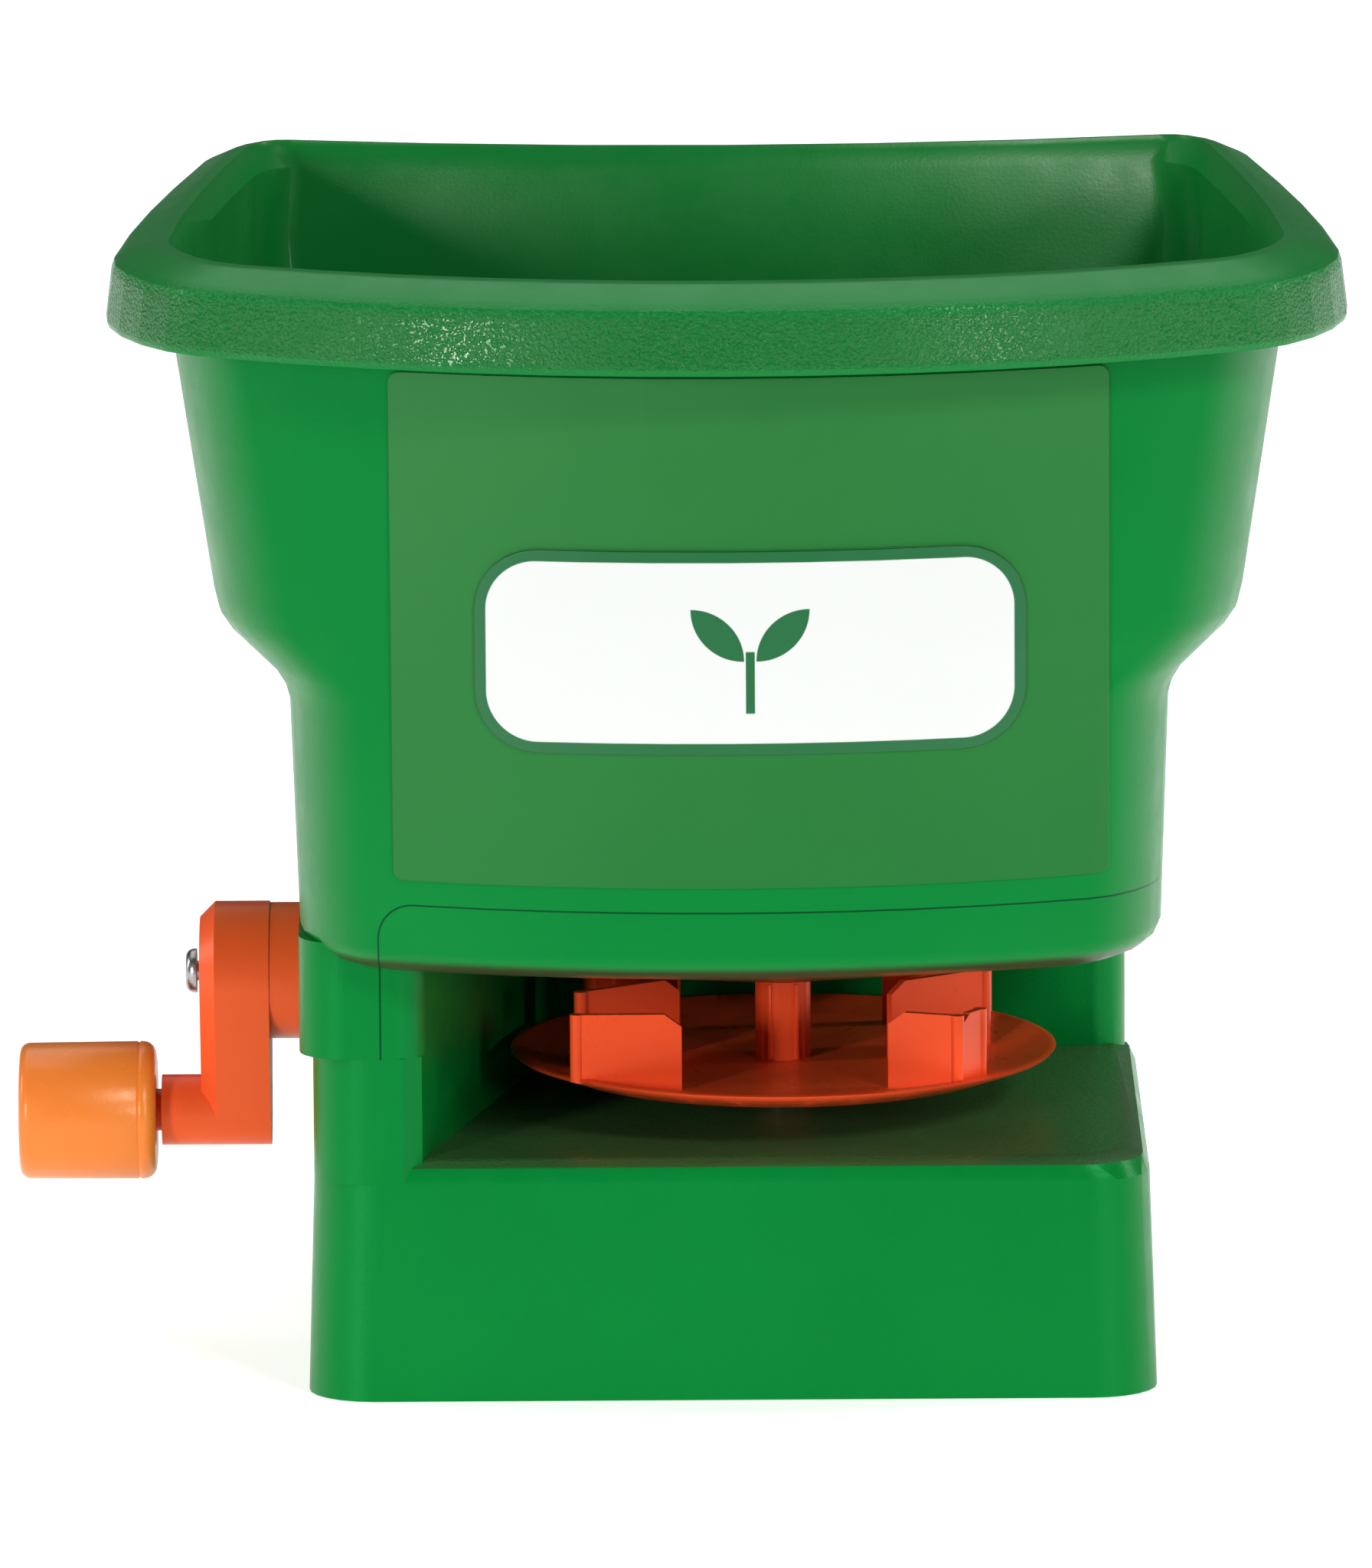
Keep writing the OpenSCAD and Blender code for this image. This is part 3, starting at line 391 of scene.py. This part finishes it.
def badgePrint():
    # a plain white plate with a thin green line inside its edge
    material, tree, shader, coords = newMaterial("badgePrint")
    low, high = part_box("badge")
    middle = (low + high) / 2
    place = tree.nodes.new("ShaderNodeSeparateXYZ")
    tree.links.new(coords, place.inputs[0])
    acrossEdge = maths(tree, "ABSOLUTE", maths(tree, "SUBTRACT", place.outputs["X"], middle.x), 0)
    upEdge = maths(tree, "ABSOLUTE", maths(tree, "SUBTRACT", place.outputs["Z"], middle.z), 0)
    corner = badgeLook["corner"] * mm
    insideX = maths(tree, "SUBTRACT", acrossEdge, (high.x - low.x) / 2 - corner)
    insideZ = maths(tree, "SUBTRACT", upEdge, (high.z - low.z) / 2 - corner)
    overX = maths(tree, "MAXIMUM", insideX, 0)
    overZ = maths(tree, "MAXIMUM", insideZ, 0)
    reach = maths(tree, "ADD", away(tree, overX, overZ),
                  maths(tree, "MINIMUM", maths(tree, "MAXIMUM", insideX, insideZ), 0))
    border = ranged(tree, reach, 0, 1, corner - (badgeLook["line"] + 0.2) * mm, corner - badgeLook["line"] * mm)
    # a sprout: a stem with two leaves, each the overlap of two circles
    acrossMiddle = maths(tree, "SUBTRACT", place.outputs["X"], middle.x)
    upMiddle = maths(tree, "SUBTRACT", place.outputs["Z"], middle.z)
    printed = border
    for side in (-1, 1):
        leaf = None
        for dx, dz in badgeLook["leafCircles"]:
            x = maths(tree, "SUBTRACT", acrossMiddle, side * dx * mm)
            z = maths(tree, "SUBTRACT", upMiddle, dz * mm)
            edge = badgeLook["leafRadius"]
            inside = ranged(tree, away(tree, x, z), 1, 0, (edge - 0.15) * mm, edge * mm)
            leaf = maths(tree, "MULTIPLY", leaf, inside) if leaf else inside
        printed = maths(tree, "MAXIMUM", printed, leaf)
    stemSide = ranged(tree, maths(tree, "ABSOLUTE", acrossMiddle, 0), 1, 0, 0.8 * mm, 0.95 * mm)
    stemTop = ranged(tree, upMiddle, 1, 0, 0.2 * mm, 0.4 * mm)
    stemFoot = ranged(tree, upMiddle, 0, 1, -12 * mm, -11.8 * mm)
    stem = maths(tree, "MULTIPLY", stemSide, maths(tree, "MULTIPLY", stemTop, stemFoot))
    printed = maths(tree, "MAXIMUM", printed, stem)
    colour = mixColours(tree, printed, badgeLook["white"], badgeLook["green"])
    tree.links.new(colour, shader.inputs["Base Color"])
    tree.links.new(ranged(tree, noise(tree, coords, 60, 4), 0.32, 0.42), shader.inputs["Roughness"])
    bump(tree, shader, noise(tree, coords, 1200, 2), 0.015)
    return material


def brushedSteel():
    material, tree, shader, coords = newMaterial("zincSteel")
    tone = ranged(tree, noise(tree, coords, 260, 4), 0, 1)
    tree.links.new(mixColours(tree, tone, (0.5, 0.5, 0.49), (0.3, 0.3, 0.29)), shader.inputs["Base Color"])
    shader.inputs["Metallic"].default_value = 1.0
    tree.links.new(ranged(tree, noise(tree, coords, 500, 4), 0.22, 0.38), shader.inputs["Roughness"])
    bump(tree, shader, noise(tree, coords, 1800, 3, 0.6, (1, 1, 0.2)), 0.02)
    return material


armLook = {"colour": (0.95, 0.115, 0.026), "shade": (0.9, 0.1, 0.022), "roughness": 0.34,
           "grain": 1300, "grainDepth": 0.03, "waves": 0.2, "specular": 0.4,
           "tint": (1.0, 0.6, 0.4), "glow": 0.06}
knobLook = {"colour": (0.84, 0.215, 0.032), "shade": (0.8, 0.195, 0.027), "roughness": 0.3,
            "grain": 1100, "grainDepth": 0.035, "waves": 0.2, "tint": (1.0, 0.8, 0.6), "glow": 0.06}
spinnerLook = {"colour": (0.94, 0.09, 0.022), "shade": (0.88, 0.075, 0.018), "roughness": 0.3,
               "grain": 1500, "grainDepth": 0.02, "waves": 0.25, "specular": 0.35,
               "tint": (1.0, 0.5, 0.3), "glow": 0.08}
nylonLook = {"colour": (0.8, 0.79, 0.72), "shade": (0.72, 0.7, 0.62), "roughness": 0.45,
             "grain": 1400, "grainDepth": 0.02}
acetalLook = {"colour": (0.02, 0.022, 0.025), "shade": (0.03, 0.031, 0.034), "roughness": 0.4,
              "grain": 1600, "grainDepth": 0.02}

materials = {
    "green_plastic": greenPlastic(),
    "green_film": filmGreen(),
    "white_film": badgePrint(),
    "crank_orange": moulded("orangePlastic", armLook),
    "knob_orange": moulded("knobPlastic", knobLook),
    "spinner_red": moulded("redOrangePlastic", spinnerLook),
    "nylon": moulded("naturalNylon", nylonLook),
    "black_acetal": moulded("blackAcetal", acetalLook),
    "steel": brushedSteel(),
}
slotOf = {row["node"]: row["material_slot"] for row in frame["record"]["subparts"]}
for nodeName, nodeObject in nodes.items():
    coat(nodeObject, materials[slotOf[nodeName]])
print("materials made:", len(materials))

# ---- moulded pieces: CAD copies with broken edges ----

mouldings = {
    "hopper": {"name": "hopperShell", "bevel": 0.4, "flat": 0.05},
    "bottom_pan": {"name": "panShell", "bevel": 0.35, "flat": 0.05},
    "base": {"name": "baseShell", "bevel": 0.6, "flat": 0.05},
    "front_label": {"name": "labelFilm", "bevel": 0.2},
    "badge": {"name": "badgePlate", "bevel": 0.2},
    "crank_arm": {"name": "crankArm", "bevel": 0.45},
    "spinner": {"name": "spinnerDisc", "bevel": 0.15},
    "agitator": {"name": "agitatorArm", "bevel": 0.4},
    "gate": {"name": "gatePlate", "bevel": 0.3},
    "trigger": {"name": "triggerLever", "bevel": 0.8},
    "rate_dial": {"name": "rateDial", "bevel": 0.4},
    "handle_left": {"name": "handleLeft", "bevel": 1.2},
    "handle_right": {"name": "handleRight", "bevel": 1.2},
}
for nodeName, piece in mouldings.items():
    flat = piece.get("flat", edgeValues["flat"])
    made = polished(nodeName, piece["name"], piece["bevel"], flat)
    print("moulding:", piece["name"], len(made.data.polygons), "faces")

# ---- crank screw ----

screwValues = {"domeSegments": 5, "recessWidth": 1.0, "recessLength": 5.0, "recessDepth": 1.1}


def crankScrew():
    low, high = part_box("crank_screw")
    radius = (high.z - low.z) / 2
    headDepth = 2.2 * mm
    centre = Vector((low.x + headDepth / 2, 0, (low.z + high.z) / 2))
    deselectAll()
    bpy.ops.mesh.primitive_cylinder_add(vertices=48, radius=radius, depth=headDepth, location=centre,
                                        rotation=(0, math.radians(90), 0))
    head = bpy.context.object
    head.name = "crankScrewHead"
    setPlace(head)
    selectFaces(head, lambda place, normal: normal.x < -0.9)
    bpy.ops.mesh.bevel(offset=1.7 * mm, segments=screwValues["domeSegments"], affect="EDGES", profile=0.5)
    bpy.ops.object.mode_set(mode="OBJECT")
    for turn in (0, 90):
        bpy.ops.mesh.primitive_cube_add(size=1, location=(low.x, 0, centre.z),
                                        rotation=(math.radians(turn + 20), 0, 0))
        cutter = bpy.context.object
        cutter.scale = (2 * screwValues["recessDepth"] * mm, screwValues["recessLength"] * mm,
                        screwValues["recessWidth"] * mm)
        setPlace(cutter)
        addModifier(head, "BOOLEAN", operation="DIFFERENCE", object=cutter, solver="EXACT")
        bpy.data.objects.remove(cutter)
    addModifier(head, "BEVEL", width=0.08 * mm, segments=1, limit_method="ANGLE",
                angle_limit=math.radians(40), use_clamp_overlap=True, harden_normals=False)
    smooth(head, 40)
    finishPiece(head, "crank", materials["steel"])
    deselectAll()
    bpy.ops.mesh.primitive_cylinder_add(vertices=24, radius=2 * mm, depth=high.x - low.x - headDepth,
                                        location=((low.x + headDepth + high.x) / 2, 0, centre.z),
                                        rotation=(0, math.radians(90), 0))
    shank = bpy.context.object
    shank.name = "crankScrewShank"
    setPlace(shank)
    selectFaces(shank, lambda place, normal: normal.x > 0.9)
    bpy.ops.mesh.bevel(offset=0.5 * mm, segments=2, affect="EDGES")
    smooth(shank)
    finishPiece(shank, "crank", materials["steel"])
    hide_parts("crank_screw")


crankScrew()
print("crank screw made")

# ---- crank knob ----

knobValues = {"outerRound": 2.0, "innerRound": 2.6, "grooveAt": 3.4, "grooveWidth": 0.7, "grooveDepth": 0.25,
              "barrel": 0.985}


def crankKnob():
    low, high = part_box("crank_knob")
    length = high.x - low.x
    radius = (high.z - low.z) / 2
    centre = (low + high) / 2
    deselectAll()
    bpy.ops.mesh.primitive_cylinder_add(vertices=128, radius=radius, depth=length, location=centre,
                                        rotation=(0, math.radians(90), 0))
    knob = bpy.context.object
    knob.name = "crankKnob"
    setPlace(knob)
    selectFaces(knob, lambda place, normal: normal.x < -0.9)
    bpy.ops.mesh.bevel(offset=knobValues["outerRound"] * mm, segments=5, affect="EDGES")
    selectFaces(knob, lambda place, normal: normal.x > 0.9)
    bpy.ops.mesh.bevel(offset=knobValues["innerRound"] * mm, segments=5, affect="EDGES")
    # the moulding's parting groove, near the arm
    start = high.x - knobValues["grooveAt"] * mm
    half = knobValues["grooveWidth"] * mm / 2
    for cut in (start - half, start, start + half):
        bpy.ops.mesh.select_all(action="SELECT")
        bpy.ops.mesh.bisect(plane_co=(cut, centre.y, centre.z), plane_no=(1, 0, 0))
    bpy.ops.mesh.select_mode(type="VERT")
    bpy.ops.mesh.select_all(action="DESELECT")
    bpy.ops.object.mode_set(mode="OBJECT")
    for vertex in knob.data.vertices:
        vertex.select = abs(vertex.co.x - start) < 0.01 * mm
    bpy.ops.object.mode_set(mode="EDIT")
    shrink = 1 - knobValues["grooveDepth"] * mm / radius
    bpy.ops.transform.resize(value=(1, shrink, shrink), center_override=centre)
    # the outer end is a touch slimmer than the middle
    bpy.ops.mesh.select_all(action="DESELECT")
    bpy.ops.object.mode_set(mode="OBJECT")
    for vertex in knob.data.vertices:
        vertex.select = vertex.co.x < low.x + 5 * mm
    bpy.ops.object.mode_set(mode="EDIT")
    bpy.ops.transform.resize(value=(1, knobValues["barrel"], knobValues["barrel"]), center_override=centre)
    bpy.ops.object.mode_set(mode="OBJECT")
    smooth(knob, 40)
    finishPiece(knob, "knob", materials["knob_orange"])
    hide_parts("crank_knob")


crankKnob()
print("crank knob made")

# ---- moulding lines on the spinner's hub ----

hubLine = {"width": 0.9, "stand": 0.35, "turns": (-118, -62), "hubRadius": 5.5, "lift": 3.6}


def hubLines():
    low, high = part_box("spinner")
    hubRadius = hubLine["hubRadius"] * mm
    for count, turn in enumerate(hubLine["turns"]):
        angle = math.radians(turn)
        reach = hubRadius + hubLine["stand"] * mm / 2 - 0.1 * mm
        deselectAll()
        place = (reach * math.cos(angle), reach * math.sin(angle), (high.z + low.z) / 2 + hubLine["lift"] * mm)
        bpy.ops.mesh.primitive_cube_add(size=1, location=place, rotation=(0, 0, angle))
        line = bpy.context.object
        line.name = "hubLine" + str(count + 1)
        line.scale = ((hubLine["stand"] + 0.4) * mm, hubLine["width"] * mm, high.z - low.z - 8 * mm)
        setPlace(line)
        addModifier(line, "BEVEL", width=0.2 * mm, segments=2, limit_method="ANGLE")
        smooth(line)
        finishPiece(line, "spinner", materials["spinner_red"])


hubLines()

# ---- floor, lights and camera ----

studio = {
    "sky": 0.1,
    "floorTone": (0.95, 0.95, 0.95),
    "floorGlow": 0.62,
    "cameraDistance": 3.2,
    "cameraHeight": 0.682,
    "aim": (-0.0103, 0, 0.12),
    "focal": 377.9,
    "roll": 0.35,
    "frameHeight": 2048,
    "sensorWidth": 36,
    "offCentre": (-57, -56),  # the frame's middle from the aim, right and up, in the unit of frameHeight
}


def addFloor():
    deselectAll()
    bpy.ops.mesh.primitive_plane_add(size=8, location=(0, 3.45, -0.0002))
    floor = bpy.context.object
    floor.name = "floor"
    material, tree, shader, coords = newMaterial("paleFloor")
    tone = ranged(tree, noise(tree, coords, 3, 2), 0, 1)
    pale = studio["floorTone"]
    tree.links.new(mixColours(tree, tone, pale, tuple(0.99 * c for c in pale)), shader.inputs["Base Color"])
    shader.inputs["Roughness"].default_value = 0.6
    shader.inputs["Emission Color"].default_value = (1, 1, 1, 1)
    shader.inputs["Emission Strength"].default_value = studio["floorGlow"]
    floor.data.materials.append(material)


def addSoftbox(name, place, aim, size, power):
    light = bpy.data.lights.new(name, "AREA")
    light.shape = "RECTANGLE"
    light.size, light.size_y = size
    light.energy = power
    holder = bpy.data.objects.new(name, light)
    bpy.context.scene.collection.objects.link(holder)
    holder.location = place
    holder.rotation_euler = (Vector(aim) - Vector(place)).to_track_quat("-Z", "Y").to_euler()


def addCamera():
    data = bpy.data.cameras.new("camera")
    camera = bpy.data.objects.new("camera", data)
    bpy.context.scene.collection.objects.link(camera)
    data.sensor_width = studio["sensorWidth"]
    data.lens = studio["focal"]
    data.clip_end = 50
    aim = Vector(studio["aim"])
    place = Vector((aim.x, -studio["cameraDistance"], studio["cameraHeight"]))
    forward = (aim - place).normalized()
    right = forward.cross(Vector((0, 0, 1))).normalized()
    up = right.cross(forward)
    step = studio["sensorWidth"] / studio["frameHeight"] / studio["focal"]
    across, rise = studio["offCentre"]
    forward = (forward + right * across * step + up * rise * step).normalized()
    roll = math.radians(studio["roll"])
    up = up * math.cos(roll) + right * math.sin(roll)
    right = forward.cross(up).normalized()
    up = right.cross(forward)
    camera.location = place
    camera.rotation_euler = Matrix((right, up, -forward)).transposed().to_euler()
    bpy.context.scene.camera = camera


world = bpy.data.worlds.new("studio")
bpy.context.scene.world = world
world.use_nodes = True
world.node_tree.nodes["Background"].inputs["Color"].default_value = (1, 1, 1, 1)
world.node_tree.nodes["Background"].inputs["Strength"].default_value = studio["sky"]
bpy.context.scene.view_settings.view_transform = "Standard"
addFloor()
softboxes = {  # place, aim, size and power
    "leftSoftbox": ((-1.85, -2.75, 0.62), (0, 0, 0.12), (0.4, 0.6), 46),
    "rightLow": ((1.8, -2.75, 0.6), (0, 0, 0.12), (0.3, 0.5), 16),
    "rightSoftbox": ((1.5, -2.5, 1.9), (0, 0, 0.12), (0.6, 0.6), 34),
    "leftStrip": ((-2.0, 0.25, 0.75), (0, 0, 0.16), (0.16, 0.9), 9),
    "rightStrip": ((2.0, 0.3, 0.75), (0, 0, 0.16), (0.16, 0.9), 11),
    "overhead": ((0, 1.4, 2.6), (0, 1.4, 0), (3.2, 3.2), 46),
}
for name, (place, aim, size, power) in softboxes.items():
    addSoftbox(name, place, aim, size, power)
addCamera()
print("stage set")
